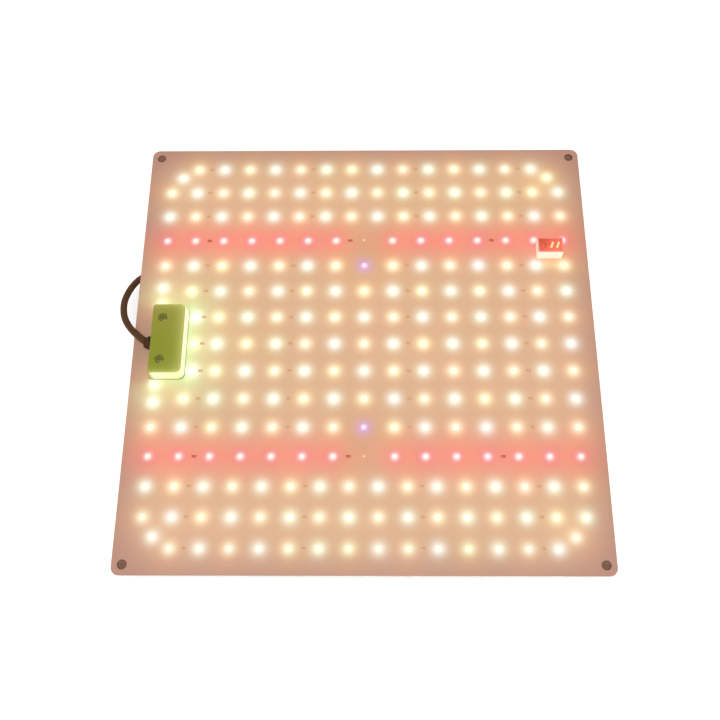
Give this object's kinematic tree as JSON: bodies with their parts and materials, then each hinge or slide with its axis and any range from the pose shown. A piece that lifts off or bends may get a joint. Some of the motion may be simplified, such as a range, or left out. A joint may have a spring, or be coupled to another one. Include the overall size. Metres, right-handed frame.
{
  "type": "led grow light",
  "caption": "Square LED grow light panel with mixed white and red LEDs, a green terminal cover, a link header and a driver on its back.",
  "frame": {"origin": "centre of the four hanging holes, on the aluminium plate's back face", "axes": "+Z out of the lit face, +X along the panel away from the terminal cover, +Y towards the edge nearest the link header"},
  "size_m": [0.3122, 0.3, 0.048],
  "materials": {
    "bare_aluminium": "satin",
    "white_mask": "satin solder mask",
    "led_ceramic": "matte",
    "cool_phosphor": "lit silicone",
    "warm_phosphor": "lit silicone",
    "red_lens": "clear dome",
    "violet_lens": "clear dome",
    "clear_lens": "clear dome",
    "chip_body": "matte",
    "green_cover": "translucent moulded",
    "black_rubber": "matte",
    "dark_steel": "blackened",
    "plated_steel": "zinc plated",
    "green_plastic": "moulded",
    "brass_plate": "tinned",
    "brown_rubber": "matte jacket",
    "red_insulation": "wire insulation",
    "black_insulation": "wire insulation",
    "white_plastic": "moulded nylon",
    "anodised_case": "anodised extrusion",
    "coated_cap": "powder coat",
    "black_plastic": "moulded",
    "spacer_plastic": "moulded",
    "circuit_board": "solder mask",
    "ferrite": "sintered",
    "winding_tape": "polyester tape",
    "capacitor_sleeve": "sleeve",
    "copper_wire": "enamelled",
    "film_box": "moulded",
    "pad_rubber": "matte"
  },
  "bodies": {
    "root": {"base_plate": "bare_aluminium", "circuit_layer": "white_mask", "cool_packages": "led_ceramic", "warm_packages": "led_ceramic", "red_packages": "led_ceramic", "uv_packages": "led_ceramic", "infrared_packages": "led_ceramic", "cool_phosphors": "cool_phosphor", "warm_phosphors": "warm_phosphor", "red_lenses": "red_lens", "uv_lenses": "violet_lens", "infrared_lenses": "clear_lens", "chip_resistors": "chip_body", "terminal_cover": "green_cover", "cover_gasket": "black_rubber", "cover_screws": "dark_steel", "cover_nuts": "plated_steel", "terminal_block": "green_plastic", "terminal_clamps": "brass_plate", "terminal_screws": "plated_steel", "cable_bush": "brown_rubber", "link_lead": "brown_rubber", "red_cores": "red_insulation", "black_cores": "black_insulation", "header_shell": "white_plastic", "header_pins": "brass_plate", "driver_case": "anodised_case", "output_end_cap": "coated_cap", "mains_end_cap": "coated_cap", "end_cap_gaskets": "black_rubber", "end_cap_screws": "plated_steel", "output_gland_body": "black_plastic", "output_gland_cap": "black_plastic", "output_gland_seal": "black_rubber", "mains_gland_body": "black_plastic", "mains_gland_cap": "black_plastic", "mains_gland_seal": "black_rubber", "gland_locknuts": "black_plastic", "mounting_studs": "plated_steel", "spacers": "spacer_plastic", "stud_washers": "plated_steel", "stud_nuts": "plated_steel", "driver_circuit_board": "circuit_board", "transformer_core": "ferrite", "transformer_winding": "winding_tape", "bulk_capacitors": "capacitor_sleeve", "output_capacitors": "capacitor_sleeve", "input_choke": "copper_wire", "filter_capacitor": "film_box", "power_transistors": "black_plastic", "insulating_pads": "pad_rubber", "output_terminal": "white_plastic", "mains_terminal": "white_plastic"}
  },
  "joints": []
}
